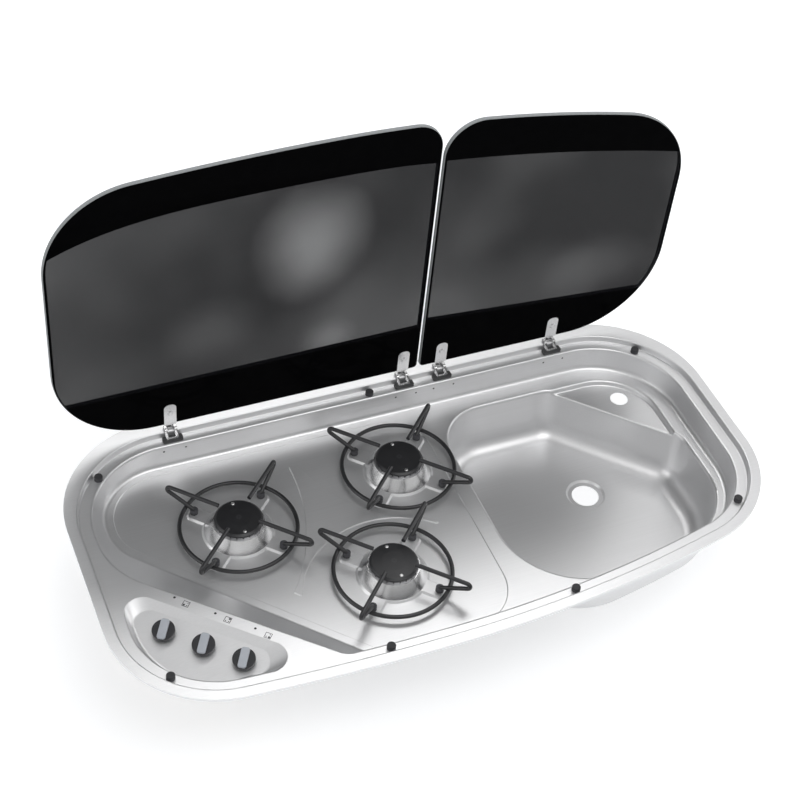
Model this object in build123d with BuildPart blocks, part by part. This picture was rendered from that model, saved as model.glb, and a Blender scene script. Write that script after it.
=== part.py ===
from build123d import *
from math import sin, cos, tan, radians, sqrt, hypot
import os

os.makedirs("parts", exist_ok=True)

# All lengths are millimetres. X runs to the right, Y to the back, Z up, and
# Z = 0 is the worktop surface that the rim seal lies on.

# ---------------------------------------------------------------- rim outline
WIDTH = 900.0            # rim, left to right
DEPTH = 468.0            # rim, front apex to back edge
APEX_X = -60.0           # where the bowed front reaches furthest forward
BOW_LEFT = 3400.0        # radius of the bow left of the apex
BOW_RIGHT = 1750.0       # radius of the bow right of the apex
CORNER_BACK = 150.0
CORNER_FRONT_LEFT = 140.0
CORNER_FRONT_RIGHT = 147.0

# ---------------------------------------------------------------- pressing
SHEET = 1.0              # stainless sheet
RIM_TOP = 5.0            # top of the rim flange
LIP_BOTTOM = 0.5         # lower edge of the turned-down rim
RIM_SIDE = 14.5          # flange width at the sides and front
RIM_BACK = 25.5          # flange width at the back
LEDGE_Z = -3.5           # shelf that carries the lid buffers and hinges
LEDGE = 17.5             # flange edge to the inner edge of the shelf
RIM_DRAFT = 9.0          # slope of the first wall, degrees
RIM_BEND = 2.0           # bend at the flange edge, top face
LEDGE_FOOT = 1.5         # hollow fillet at the foot of the first wall
LEDGE_BEND = 3.0         # bend at the shelf's inner edge, top face

DECK_Z = -39.0           # land round the sink bowl
DECK_FILLET = 6.5
WALL_LEFT = 21.0         # how far each deep wall leans in on its way down
WALL_RIGHT = 3.0
WALL_BACK = 2.0
WALL_FRONT = 1.5
DECK_CORNER_SLACK = 2.0  # the deck corners are this much tighter than the shelf's
DECK_LEFT_R = 84.0       # back left corner of the deck, beside the leaning wall

RAMP_TOP = ((-340.0, -60.0), (-185.0, -203.0))       # slanting wall, upper line
RAMP_FOOT = ((-395.0, 69.8), (-180.0, -153.8))       # slanting wall, foot line
RAMP_LEFT_R = 110.0
RAMP_LEFT_FOOT_R = 68.0
RAMP_FRONT_R = 28.0
RAMP_FRONT_FOOT_R = 32.0

PANEL_STEP = 1.0         # hob area lies this much below the land
PANEL_INSET = 12.0       # its edge, in from the foot of the walls
PANEL_RIGHT = 58.0       # its edge beside the sink
PANEL_CORNER = 65.0
SLOPE = 45.0             # side slope of shallow embossing, degrees

# ---------------------------------------------------------------- burners
BURNERS = {"left": (-237.5, 52.2), "back": (-3.1, 85.7), "front": (-76.6, -77.8)}
PAD_H = 2.5              # burner surround, raised from the hob area
PAD_R = 47.0
PAD_ARM_R = 72.0
PAD_ARM_W = 24.0
STAR_H = 1.2             # stiffening star between the burners
STAR_TIP_R = 2.5

# ---------------------------------------------------------------- sink
BOWL_FLOOR = -120.0
BOWL_LEFT = 81.0
BOWL_RIGHT = 396.0
BOWL_BACK = 161.6
BOWL_FRONT_INSET = 45.0  # from the front of the rim
BOWL_CUT = ((300.0, 122.6), (340.0, 81.8))           # slanting side by the tap
BOWL_R = {"back_left": 68.0, "cut_back": 42.0, "cut_right": 42.0,
          "front_right": 100.0, "front_left": 112.0}
BOWL_DRAFT = 2.0
BOWL_FILLET = 25.0
BOWL_BEND = 4.0          # bend at the bowl's mouth, top face
FLARE_EDGE = 0.6         # flat round a rounded mouth
BOWL_SPLIT = -45.0       # height where the bowl's solid meets the pan's
SHELF_SPLIT = 6.0        # where the shelf's solid meets the bowl's, off the slanting side
SHELF_DROP = 7.0         # tap shelf below the land
SHELF_LEFT = 215.0
SHELF_RIGHT = 389.5
SHELF_BACK = 158.5
SHELF_FRONT = 20.0
SHELF_CORNER = 78.0
SHELF_FILLET = 3.0
SHELF_DRAFT = 5.0
SHELF_EDGE = 3.0         # bend where the shelf drops into the bowl, top face
TAP_XY = (350.7, 120.5)
TAP_HOLE_R = 12.5
DRAIN_XY = (263.5, 27.8)
DRAIN_HOLE_R = 19.0
DRAIN_DISH_R = 27.5
DRAIN_DISH_DEPTH = 3.0

# ---------------------------------------------------------------- controls
PANEL_GAP = 17.0         # control recess, from the ramp's upper line
RECESS_TILT = 10.0       # slope of its floor, degrees
RECESS_STEP = 3.0        # depth at its shallow side
RECESS_LEAN = 5.0        # how far its steep walls lean in
RECESS_EASE = 12.0       # how far its shallow side leans in
RECESS_CORNER = 22.0
RECESS_FILLET = 5.0
RECESS_BEND = 2.5
KNOB_NAMES = ("left", "middle", "right")
KNOB_MID = (-341.0, -129.0)
KNOB_PITCH = 52.3
KNOB_R = 14.0
KNOB_LIFT = 4.0          # under the knob, up from the recess floor
KNOB_TOP = 11.6          # top of the grip above the recess floor
KNOB_RIM = 5.0           # height of the round body
GRIP_W = 10.6
GRIP_L = 27.0
GRIP_TURN = 101.5        # grip, from the row of knobs: it points at its dot
PUSH = 2.6               # push-in travel
SPINDLE_R = 3.0
SPINDLE_FLAT = 2.2
SPINDLE_TOP = 7.6
SPINDLE_FOOT = -14.0
RUNNING = 0.05           # radial clearance of a turning fit
TAP_HOLE_CONTROL_R = 5.0
TAP_NECK_R = 4.7
TAP_FLANGE_R = 9.0
TAP_FLANGE_H = 5.0
TAP_BODY_R = 11.0
TAP_DEPTH = 40.0
SEAT = 0.3               # gap left between curved faces that touch
RAIL_R = 6.0             # gas rail
RAIL_WALL = 1.2
RAIL_BACK = 17.5         # rail axis, up the slope from the taps
RAIL_DOWN = 30.0         # rail axis, below the recess floor
RAIL_END = 24.0          # rail beyond the outer taps
PIPE_R = 3.0
PIPE_WALL = 0.8
INLET_R = 4.0
INLET_END = (-330.0, 204.0, -56.0)
INLET_LEAD = 18.0        # straight run off the rail
INLET_RISE = 110.0       # where it turns to run straight back
INLET_BEND = 14.0
PIPE_BEND = 14.0

# ---------------------------------------------------------------- burner stack
BURNER_HOLE_R = 30.0
SKIRT_FOOT_R = 44.0
SKIRT_TOP_R = 33.5
SKIRT_TOP_Z = -21.0
SKIRT_T = 1.2
SKIRT_EYE_R = 27.0
HEAD_R = 31.8
HEAD_TOP_Z = -17.5
HEAD_BORE_R = 14.0
STEM_R = 19.0
STEM_Z = -58.0
PORTS = 24
PORT_W = 1.6
PORT_H = 2.2
PORT_IN_R = 22.0
CAP_R = 31.0
CAP_EDGE = 2.3
CAP_H = 5.3
CAP_SHOULDER = 2.5
CAP_HOLLOW = 2.0
RIVET_AT = 24.5
RIVET_R = 1.5
RIVET_HEAD_R = 2.4
RIVET_HEAD_H = 0.9
RIVET_SEAT = 4.1         # rivet head's seat above the foot of the cap
CUP_R = 24.0
CUP_FLANGE_R = 34.0
CUP_FLANGE_T = 3.0
CUP_Z = -72.0
CUP_FLOOR = 2.0
INJECTOR_R = 4.0
INJECTOR_TOP = -60.0
INJECTOR_NUT_R = 6.5
INJECTOR_NUT_H = 8.0

# ---------------------------------------------------------------- trivets
WIRE_R = 2.75
RING_R = 75.35
RING_Z = -30.4
BAR_Z = -5.4             # top bars, wire axis
BAR_IN_R = 29.0
ARM_SLOPE = 0.48         # fall of the returning wire
ARM_OVER_RING = 4.5      # returning wire above the ring's axis where they cross
ARM_BEND = 4.6
FOOT_BEND = 4.6
FOOT_AT = 64.0
FOOT_R = 5.2
FOOT_TOP = -30.5
WIRE_END = -35.0
SNUG = 0.03              # clearance of the rubber foot on the wire

# ---------------------------------------------------------------- lids
GLASS = 6.0
GLASS_UNDER = 3.5        # underside of a closed lid
GLASS_INSET = 21.1       # from the rim's outline
GLASS_REAR = 205.5       # rear edge of a closed lid
LID_LEFT_RIGHT = 71.0    # right edge of the hob lid
LID_RIGHT_LEFT = 75.0    # left edge of the sink lid
LID_LEFT_R = 38.0        # corner radii beside the gap
LID_RIGHT_R = 49.0
GLASS_BEVEL = 0.8
OPEN_ANGLE = 88.92       # lids stand this far back in the rest pose
PIVOT_Y = 214.5
PIVOT_Z = 7.7
HINGES = {"hob": (-279.5, 49.5), "sink": (106.0, 275.0)}
LID_REAR_R = 6.0         # small corners beside the gap at the hinge side
LEAF_T = 1.0
LEAF_W = 16.6
LEAF_TIP = 169.0
LEAF_FULL = 205.2        # full width ends here
LEAF_END_R = 7.0
NECK_W = 9.0
CURL_R = 1.8             # centre line of the rolled eyes
PIN_R = 1.25
PIN_L = 18.0
STRAP_IN = 4.8           # bracket straps, from the hinge's centre
STRAP_OUT = 8.3
STRAP_Y = 206.6
STRAP_BEND = 2.0
BASE_W = 27.0
BASE_Y = (195.0, 205.0)
BASE_TOP = 0.5
BASE_CORNER = 2.0
FOOT_Y = 197.5           # front of the bracket's foot
FOOT_PLATE = 3.0
BOLT_Y = 184.0
BOLT_R = 2.4
BOLT_HOLE_R = 4.25
BOLT_HEAD_R = 4.2
BOLT_HEAD_H = 1.3
BOLT_CAP_R = 7.0
BOLT_CAP_H = 1.5
CLIP_HOLE_R = 1.5        # pair of small holes in the deep wall under each hinge
CLIP_HOLE_Z = -12.6
CLIP_HOLE_X = 15.0

# ---------------------------------------------------------------- rubber
BUFFERS = ((-392, 164), (-2, 200), (386, 159), (386, -134), (116, -198), (-134, -209),
           (-391, -164))
BUFFER_R = 5.5
BUFFER_GAP = 0.3         # under a closed lid
SEAL_OUT = 2.0
SEAL_IN = 12.0


def bow_y(x, inset):
    """Front edge of the rim outline, moved in by inset, at x."""
    r = BOW_LEFT if x < APEX_X else BOW_RIGHT
    return -DEPTH / 2 + r - sqrt((r - inset) ** 2 - (x - APEX_X) ** 2)


def bow_arcs(x0, x1, inset):
    """Lines of the bowed front from x0 to x1, inside a BuildLine."""
    stops = [x0, APEX_X, x1] if x0 < APEX_X < x1 else [x0, x1]
    for a, b in zip(stops, stops[1:]):
        m = (a + b) / 2
        ThreePointArc((a, bow_y(a, inset)), (m, bow_y(m, inset)), (b, bow_y(b, inset)))


def at(x, y):
    """Test for a vertex that lies at x, y."""
    return lambda v: abs(v.X - x) < 0.01 and abs(v.Y - y) < 0.01


def rim_outline(side, back):
    """Rim outline moved in by side at the front and sides, by back at the back."""
    x, y = WIDTH / 2 - side, DEPTH / 2 - back
    with BuildSketch() as face:
        with BuildLine():
            Polyline((-x, bow_y(-x, side)), (-x, y), (x, y), (x, bow_y(x, side)))
            bow_arcs(-x, x, side)
        make_face()
        fillet(face.vertices().filter_by(lambda v: v.Y > 0), CORNER_BACK - side)
        fillet(face.vertices().filter_by(at(-x, bow_y(-x, side))), CORNER_FRONT_LEFT - side)
        fillet(face.vertices().filter_by(at(x, bow_y(x, side))), CORNER_FRONT_RIGHT - side)
    return face.sketch


def shifted(line, off):
    """A line through two points, moved by off to its left: (point, unit direction)."""
    (ax, ay), (bx, by) = line
    length = hypot(bx - ax, by - ay)
    ux, uy = (bx - ax) / length, (by - ay) / length
    return (ax - uy * off, ay + ux * off), (ux, uy)


def line_at_x(line, x):
    (px, py), (ux, uy) = line
    return px + ux * (x - px) / ux, py + uy * (x - px) / ux


def line_at_y(line, y):
    (px, py), (ux, uy) = line
    return px + ux * (y - py) / uy, y


def line_at_bow(line, inset):
    """Where a line that falls to the right meets the bowed front."""
    x = APEX_X
    for _ in range(40):
        x = line_at_y(line, bow_y(x, inset))[0]
    return x, bow_y(x, inset)


def well_outline(left, right, back, front, ramp, radii):
    """Deep well: rim sides moved in, the front left corner cut off by a line."""
    xl, xr, yb = -WIDTH / 2 + left, WIDTH / 2 - right, DEPTH / 2 - back
    side = line_at_x(ramp, xl)
    foot = line_at_bow(ramp, front)
    r_back_left, r_back_right, r_front, r_foot, r_side = radii
    with BuildSketch() as face:
        with BuildLine():
            Polyline(foot, side, (xl, yb), (xr, yb), (xr, bow_y(xr, front)))
            bow_arcs(foot[0], xr, front)
        make_face()
        for point, r in (((xl, yb), r_back_left), ((xr, yb), r_back_right),
                         ((xr, bow_y(xr, front)), r_front), (foot, r_foot), (side, r_side)):
            fillet(face.vertices().filter_by(at(*point)), r)
    return face.sketch


def well_top(g):
    inset = RIM_SIDE + LEDGE - g
    return well_outline(inset, inset, RIM_BACK + LEDGE - g, inset, shifted(RAMP_TOP, -g),
                        (CORNER_BACK - inset, CORNER_BACK - inset,
                         CORNER_FRONT_RIGHT - inset, RAMP_FRONT_R + g, RAMP_LEFT_R + g))


def well_floor(g, inset=0.0):
    d = RIM_SIDE + LEDGE - g + inset
    tight = DECK_CORNER_SLACK
    return well_outline(d + WALL_LEFT, d + WALL_RIGHT, RIM_BACK + LEDGE + WALL_BACK - g + inset,
                        d + WALL_FRONT, shifted(RAMP_FOOT, -g + inset),
                        (DECK_LEFT_R + g - inset, CORNER_BACK - d - tight,
                         CORNER_FRONT_RIGHT - d - tight, RAMP_FRONT_FOOT_R + g - inset,
                         RAMP_LEFT_FOOT_R + g - inset))


def panel_outline(g):
    """Sunk hob area: the deck's own outline drawn in, closed beside the sink."""
    with BuildSketch() as face:
        add(well_floor(g, PANEL_INSET))
        with Locations((PANEL_RIGHT + g + WIDTH / 2, 0)):
            Rectangle(WIDTH, 2 * DEPTH, mode=Mode.SUBTRACT)
        fillet(face.vertices().filter_by(lambda v: v.X > PANEL_RIGHT + g - 0.01), PANEL_CORNER)
    return face.sketch


def pads():
    """Burner surrounds with four arms that the trivet feet stand on."""
    with BuildSketch() as face:
        for x, y in BURNERS.values():
            with Locations((x, y)):
                Circle(PAD_R)
            for turn in (45, 135):
                with Locations(Location((x, y, 0), (0, 0, turn))):
                    RectangleRounded(2 * PAD_ARM_R, PAD_ARM_W, PAD_ARM_W / 3)
    return face.sketch


def star():
    """Three-pointed stiffening emboss whose sides curve round the burners."""
    with BuildSketch() as face:
        with BuildLine():
            ThreePointArc((-140, 137), (-147, 56), (-205, -66))
            Line((-205, -66), (-196, -76))
            ThreePointArc((-196, -76), (-104, 10), (12, -20))
            Line((12, -20), (14, -12))
            ThreePointArc((14, -12), (-85, 54), (-128, 137))
            Line((-128, 137), (-140, 137))
        make_face()
        fillet(face.vertices(), STAR_TIP_R)
    return face.sketch


def bowl_outline(g):
    """Sink bowl's mouth, with the corner beside the tap cut off."""
    xl, xr, yb, front = BOWL_LEFT - g, BOWL_RIGHT + g, BOWL_BACK + g, BOWL_FRONT_INSET - g
    cut = shifted(BOWL_CUT, g)
    cut_back, cut_right = line_at_y(cut, yb), line_at_x(cut, xr)
    with BuildSketch() as face:
        with BuildLine():
            Polyline((xl, bow_y(xl, front)), (xl, yb), cut_back, cut_right, (xr, bow_y(xr, front)))
            bow_arcs(xl, xr, front)
        make_face()
        for name, point in (("back_left", (xl, yb)), ("cut_back", cut_back),
                            ("cut_right", cut_right), ("front_right", (xr, bow_y(xr, front))),
                            ("front_left", (xl, bow_y(xl, front)))):
            fillet(face.vertices().filter_by(at(*point)), BOWL_R[name] + g)
    return face.sketch


def shelf_outline(g):
    with BuildSketch() as face:
        with BuildLine():
            Polyline((SHELF_LEFT, SHELF_FRONT), (SHELF_LEFT, SHELF_BACK + g),
                     (SHELF_RIGHT + g, SHELF_BACK + g), (SHELF_RIGHT + g, SHELF_FRONT), close=True)
        make_face()
        fillet(face.vertices().filter_by(at(SHELF_RIGHT + g, SHELF_BACK + g)), SHELF_CORNER + g)
    return face.sketch


RECESS_LINE = shifted(RAMP_TOP, -PANEL_GAP)          # its shallow side
RECESS_DIR = RECESS_LINE[1]


def recess_outline(g, lean=0.0, ease=0.0):
    """Control recess: follows the rim outside, runs along the ramp inside."""
    inset = RIM_SIDE + LEDGE - g + lean
    x = -WIDTH / 2 + inset
    line = shifted(RAMP_TOP, -PANEL_GAP + g - ease)
    side, tip = line_at_x(line, x), line_at_bow(line, inset)
    corner = (x, bow_y(x, inset))
    with BuildSketch() as face:
        with BuildLine():
            Polyline(tip, side, corner)
            bow_arcs(x, tip[0], inset)
        make_face()
        fillet(face.vertices().filter_by(at(*corner)), CORNER_FRONT_LEFT - inset)
        fillet(face.vertices().filter_by(at(*side)), RECESS_CORNER + g - lean / 2)
        fillet(face.vertices().filter_by(at(*tip)), RECESS_CORNER + g - lean / 2)
    return face.sketch


RECESS_AXIS = Axis((RECESS_LINE[0][0], RECESS_LINE[0][1], LEDGE_Z - RECESS_STEP),
                   (RECESS_DIR[0], RECESS_DIR[1], 0))


def recess_floor(g):
    """Face of the sloping recess floor, g below the top face of the sheet."""
    flat = recess_outline(g, RECESS_LEAN, RECESS_EASE)
    flat = flat.moved(Location((0, 0, LEDGE_Z - RECESS_STEP)))
    turned = flat.rotate(RECESS_AXIS, RECESS_TILT)
    return turned.moved(Location(recess_normal() * -g))


def recess_normal():
    """Upward normal of the recess floor."""
    tilt = radians(RECESS_TILT)
    return Vector(RECESS_DIR[1] * sin(tilt), -RECESS_DIR[0] * sin(tilt), cos(tilt))


def level(z, slack=0.05):
    """Test for edges that lie wholly at height z."""
    return lambda e: (abs(e.bounding_box().min.Z - z) < slack
                      and abs(e.bounding_box().max.Z - z) < slack)


def along(body, outline, z=0.0, slack=0.02):
    """Edges of a body that follow the boundary of a sketch placed at height z."""
    wires = [w.moved(Location((0, 0, z))) for w in outline.wires()]
    found = ShapeList()
    for e in body.edges():
        spots = [e @ t for t in (0.0, 0.3, 0.5, 0.7, 1.0)]
        if any(all(w.distance_to(Vertex(*p)) < slack for p in spots) for w in wires):
            found.append(e)
    return found


def pocket(mouth, wide, g, drop, taper, low_fillet, keep=None):
    """Air of a pocket pressed into the deck, with its rounded mouth."""
    deck = DECK_Z - g
    with BuildPart() as body:
        with BuildSketch(Plane.XY.offset(deck)):
            add(mouth)
        extrude(amount=-drop, taper=taper)
        low = body.edges().filter_by(level(deck - drop))
        fillet(low.filter_by(keep) if keep else low, low_fillet + g)
        with BuildSketch(Plane.XY.offset(deck)):
            add(wide)
        extrude(amount=BOWL_BEND)
        fillet(along(body, mouth, deck), BOWL_BEND - g)
    return body.part


def bowl_air(g):
    """Air of the sink bowl."""
    flare = BOWL_BEND - g + FLARE_EDGE
    return pocket(bowl_outline(g), bowl_outline(g + flare), g, DECK_Z - BOWL_FLOOR,
                  BOWL_DRAFT, BOWL_FILLET)


def shelf_air(g):
    """Air above the tap shelf."""
    flare = BOWL_BEND - g + FLARE_EDGE
    return pocket(shelf_outline(g), shelf_outline(g + flare), g, SHELF_DROP, SHELF_DRAFT,
                  SHELF_FILLET, lambda e: e.center().X > SHELF_LEFT + 2
                  and e.center().Y > SHELF_FRONT + 2)


def recess_air(g):
    """Air of the control recess."""
    mouth = recess_outline(g).moved(Location((0, 0, LEDGE_Z - g)))
    low = recess_floor(g)
    with BuildPart() as body:
        loft([mouth.faces()[0], low.faces()[0]], ruled=True)
        fillet(along(body, low), RECESS_FILLET + g)
    return body.part


def cavity(g):
    """Air above the pressing, grown by g: the sheet is cavity(SHEET) less cavity(0)."""
    top, ledge, deck = RIM_TOP - g, LEDGE_Z - g, DECK_Z - g
    with BuildPart() as body:
        with BuildSketch(Plane.XY.offset(top)):
            add(rim_outline(0, 0))
        extrude(amount=RIM_TOP + 10 - top)
        mouth = rim_outline(RIM_SIDE - g, RIM_BACK - g)
        with BuildSketch(Plane.XY.offset(top)):
            add(mouth)
        extrude(amount=ledge - top, taper=RIM_DRAFT)
        fillet(along(body, mouth, top), RIM_BEND - g + 0.2)
        fillet(body.edges().filter_by(level(ledge)), LEDGE_FOOT + g)
        upper, floor = well_top(g), well_floor(g)
        with BuildSketch(Plane.XY.offset(ledge)):
            add(upper)
        with BuildSketch(Plane.XY.offset(deck)):
            add(floor)
        loft(ruled=True)
        fillet(along(body, floor, deck), DECK_FILLET + g)
        fillet(along(body, upper, ledge), LEDGE_BEND - g)
        with BuildSketch(Plane.XY.offset(deck)):
            add(panel_outline(g * tan(radians(SLOPE / 2))))
        extrude(amount=-PANEL_STEP, taper=SLOPE)
        add(bowl_air(g))
        add(shelf_air(g))
        shelf = body.faces().filter_by(Axis.Z).filter_by(
            lambda f: abs(f.center().Z - deck + SHELF_DROP) < 0.01)[0]
        line = shifted(BOWL_CUT, g)
        fillet([e for e in shelf.edges()
                if e.center().X < line_at_y(line, e.center().Y)[0] + BOWL_BEND],
               SHELF_EDGE - 1.5 * g)
        with BuildSketch(Plane.XY.offset(BOWL_FLOOR - g)):
            with Locations(DRAIN_XY):
                Circle(DRAIN_DISH_R + g * tan(radians(SLOPE / 2)))
        extrude(amount=-DRAIN_DISH_DEPTH, taper=SLOPE)
        for emboss, height in ((pads(), PAD_H), (star(), STAR_H)):
            with BuildSketch(Plane.XY.offset(deck - PANEL_STEP)):
                add(emboss)
            extrude(amount=height, taper=SLOPE, mode=Mode.SUBTRACT)
        add(recess_air(g))
        fillet(along(body, recess_outline(g), ledge), RECESS_BEND - g)
    return body.part


RECESS_UP = recess_normal()
FLOOR_Z = (LEDGE_Z - RECESS_STEP
           - (RECESS_UP.X * (KNOB_MID[0] - RECESS_LINE[0][0])
              + RECESS_UP.Y * (KNOB_MID[1] - RECESS_LINE[0][1])) / RECESS_UP.Z)
CONTROL = Plane(origin=(KNOB_MID[0], KNOB_MID[1], FLOOR_Z),
                x_dir=(RECESS_DIR[0], RECESS_DIR[1], 0), z_dir=RECESS_UP)
KNOB_X = {name: (i - 1) * KNOB_PITCH for i, name in enumerate(KNOB_NAMES)}
PAD_Z = DECK_Z - PANEL_STEP + PAD_H                  # top of the burner surrounds


def save(builder, name):
    builder.part.label = name
    export_step(builder.part, f"parts/{name}.step")


def turned(x, y, *points):
    """Solid of revolution about a vertical axis at x, y; points are radius, height."""
    with BuildPart() as body:
        with BuildSketch(Plane(origin=(x, y, 0), x_dir=(1, 0, 0), z_dir=(0, -1, 0))):
            with BuildLine():
                Polyline(*points, close=True)
            make_face()
        revolve(axis=Axis((x, y, 0), (0, 0, 1)))
    return body.part


# ================================================================ pressing
with BuildPart() as pressing:
    add(cavity(SHEET))
    add(cavity(0), mode=Mode.SUBTRACT)
    with BuildSketch(Plane.XY.offset(LIP_BOTTOM)):
        add(rim_outline(0, 0))
        add(rim_outline(SHEET, SHEET), mode=Mode.SUBTRACT)
    extrude(amount=RIM_TOP - SHEET - LIP_BOTTOM)
    with Locations((TAP_XY[0], TAP_XY[1], DECK_Z - SHELF_DROP)):
        Cylinder(TAP_HOLE_R, 4 * SHEET, mode=Mode.SUBTRACT)
    with Locations((DRAIN_XY[0], DRAIN_XY[1], BOWL_FLOOR - DRAIN_DISH_DEPTH)):
        Cylinder(DRAIN_HOLE_R, 4 * SHEET, mode=Mode.SUBTRACT)
    with Locations([(x, y, PAD_Z) for x, y in BURNERS.values()]):
        Cylinder(BURNER_HOLE_R, 4 * SHEET, mode=Mode.SUBTRACT)
    with BuildSketch(CONTROL.offset(2 * SHEET)):
        with Locations([(x, 0) for x in KNOB_X.values()]):
            Circle(TAP_HOLE_CONTROL_R)
    extrude(amount=-4 * SHEET, mode=Mode.SUBTRACT)
    wall_y = DEPTH / 2 - RIM_BACK - LEDGE
    with BuildSketch(Plane.XZ.offset(-wall_y - 2 * SHEET)):
        with Locations([(x + d, CLIP_HOLE_Z) for pair in HINGES.values() for x in pair
                        for d in (-CLIP_HOLE_X, CLIP_HOLE_X)]):
            Circle(CLIP_HOLE_R)
    extrude(amount=6 * SHEET, mode=Mode.SUBTRACT)

# the one sheet is held as three solids that meet edge to edge: pan, bowl and tap shelf
(split_x, split_y), (ux, uy) = shifted(BOWL_CUT, SHELF_SPLIT)
beside_bowl = Plane(origin=(split_x, split_y, 0), x_dir=(ux, uy, 0), z_dir=(-uy, ux, 0))
with BuildPart() as sink_pan:
    add(pressing.part)
    split(bisect_by=Plane.XY.offset(BOWL_SPLIT), keep=Keep.TOP)
save(sink_pan, "sink_pan")

for name, side in (("sink_bowl", Keep.BOTTOM), ("tap_shelf", Keep.TOP)):
    with BuildPart() as lower:
        add(pressing.part)
        split(bisect_by=Plane.XY.offset(BOWL_SPLIT), keep=Keep.BOTTOM)
        split(bisect_by=beside_bowl, keep=side)
    save(lower, name)

# ================================================================ rim seal and lid buffers
with BuildPart() as rim_seal:
    with BuildSketch():
        add(rim_outline(SEAL_OUT, SEAL_OUT))
        add(rim_outline(SEAL_IN, SEAL_IN), mode=Mode.SUBTRACT)
    extrude(amount=RIM_TOP - SHEET)
save(rim_seal, "rim_seal")


def on_ledge(x, y):
    """Point of the shelf's middle line nearest to x, y."""
    middle = (LEDGE + LEDGE_FOOT) / 2
    line = rim_outline(RIM_SIDE + middle, RIM_BACK + middle).wires()[0]
    near = line.distance_to_with_closest_points(Vertex(x, y, 0))[1]
    return near.X, near.Y


with BuildPart() as lid_buffers:
    with BuildSketch(Plane.XY.offset(LEDGE_Z)):
        with Locations([on_ledge(*p) for p in BUFFERS]):
            Circle(BUFFER_R)
    extrude(amount=GLASS_UNDER - BUFFER_GAP - LEDGE_Z)
    fillet(lid_buffers.edges().group_by(Axis.Z)[-1], 1.2)
save(lid_buffers, "lid_buffers")

# ================================================================ burners
for name, (x, y) in BURNERS.items():
    with BuildPart() as burner_skirt:
        add(turned(x, y, (SKIRT_FOOT_R, PAD_Z), (SKIRT_TOP_R, SKIRT_TOP_Z), (SKIRT_EYE_R, SKIRT_TOP_Z),
               (SKIRT_EYE_R, SKIRT_TOP_Z - SKIRT_T), (SKIRT_TOP_R - SKIRT_T, SKIRT_TOP_Z - SKIRT_T),
               (SKIRT_FOOT_R - 1.3 * SKIRT_T, PAD_Z)))
    save(burner_skirt, f"burner_skirt_{name}")

    with BuildPart() as burner_head:
        stem_in = HEAD_BORE_R
        add(turned(x, y, (stem_in, STEM_Z), (STEM_R, STEM_Z), (STEM_R, SKIRT_TOP_Z - 5),
               (SKIRT_EYE_R - 0.5, SKIRT_TOP_Z), (HEAD_R, SKIRT_TOP_Z), (HEAD_R, HEAD_TOP_Z),
               (PORT_IN_R - 1, HEAD_TOP_Z), (stem_in, SKIRT_TOP_Z - 4)))
        with BuildSketch(Plane.XY.offset(HEAD_TOP_Z)):
            with Locations((x, y)):
                with PolarLocations((PORT_IN_R + HEAD_R + 1) / 2, PORTS, start_angle=180 / PORTS):
                    Rectangle(HEAD_R - PORT_IN_R + 3, PORT_W)
        extrude(amount=-PORT_H, mode=Mode.SUBTRACT)
        with Locations([(x, y + d, HEAD_TOP_Z) for d in (-RIVET_AT, RIVET_AT)]):
            Cylinder(RIVET_R + RUNNING, 5, mode=Mode.SUBTRACT)
    save(burner_head, f"burner_head_{name}")

    with BuildPart() as burner_cap:
        add(turned(x, y, (0, HEAD_TOP_Z + CAP_HOLLOW), (PORT_IN_R - 1, HEAD_TOP_Z + CAP_HOLLOW),
               (PORT_IN_R - 1, HEAD_TOP_Z), (CAP_R, HEAD_TOP_Z), (CAP_R, HEAD_TOP_Z + CAP_EDGE),
               (CAP_R - CAP_SHOULDER, HEAD_TOP_Z + RIVET_SEAT), (CAP_R / 2, HEAD_TOP_Z + 5),
               (0, HEAD_TOP_Z + CAP_H)))
        with Locations([(x, y + d, HEAD_TOP_Z + RIVET_SEAT + 2) for d in (-RIVET_AT, RIVET_AT)]):
            Cylinder(RIVET_HEAD_R + RUNNING, 4, mode=Mode.SUBTRACT)
        with Locations([(x, y + d, HEAD_TOP_Z) for d in (-RIVET_AT, RIVET_AT)]):
            Cylinder(RIVET_R + RUNNING, 20, mode=Mode.SUBTRACT)
    save(burner_cap, f"burner_cap_{name}")

    with BuildPart() as burner_cup:
        add(turned(x, y, (0, CUP_Z), (CUP_R, CUP_Z), (CUP_R, PAD_Z - SHEET - CUP_FLANGE_T),
               (CUP_FLANGE_R, PAD_Z - SHEET - CUP_FLANGE_T), (CUP_FLANGE_R, PAD_Z - SHEET),
               (STEM_R + SEAT, PAD_Z - SHEET), (STEM_R + SEAT, STEM_Z - 1),
               (STEM_R - 3, STEM_Z - 1), (STEM_R - 3, CUP_Z + CUP_FLOOR), (0, CUP_Z + CUP_FLOOR)))
        with Locations((x, y, CUP_Z)):
            Cylinder(INJECTOR_R + RUNNING, 10, mode=Mode.SUBTRACT)
    save(burner_cup, f"burner_cup_{name}")

with BuildPart() as cap_rivets:
    for x, y in BURNERS.values():
        for d in (-RIVET_AT, RIVET_AT):
            seat = HEAD_TOP_Z + RIVET_SEAT
            add(turned(x, y + d, (0, HEAD_TOP_Z - 2), (RIVET_R, HEAD_TOP_Z - 2), (RIVET_R, seat),
                   (RIVET_HEAD_R, seat), (RIVET_HEAD_R, seat + 0.4), (1.4, seat + RIVET_HEAD_H),
                   (0, seat + RIVET_HEAD_H)))
save(cap_rivets, "cap_rivets")

with BuildPart() as injectors:
    for x, y in BURNERS.values():
        add(turned(x, y, (0, CUP_Z - INJECTOR_NUT_H), (INJECTOR_NUT_R, CUP_Z - INJECTOR_NUT_H),
               (INJECTOR_NUT_R, CUP_Z), (INJECTOR_R, CUP_Z), (INJECTOR_R, INJECTOR_TOP - 2),
               (1.5, INJECTOR_TOP), (0, INJECTOR_TOP)))
save(injectors, "injectors")


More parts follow.
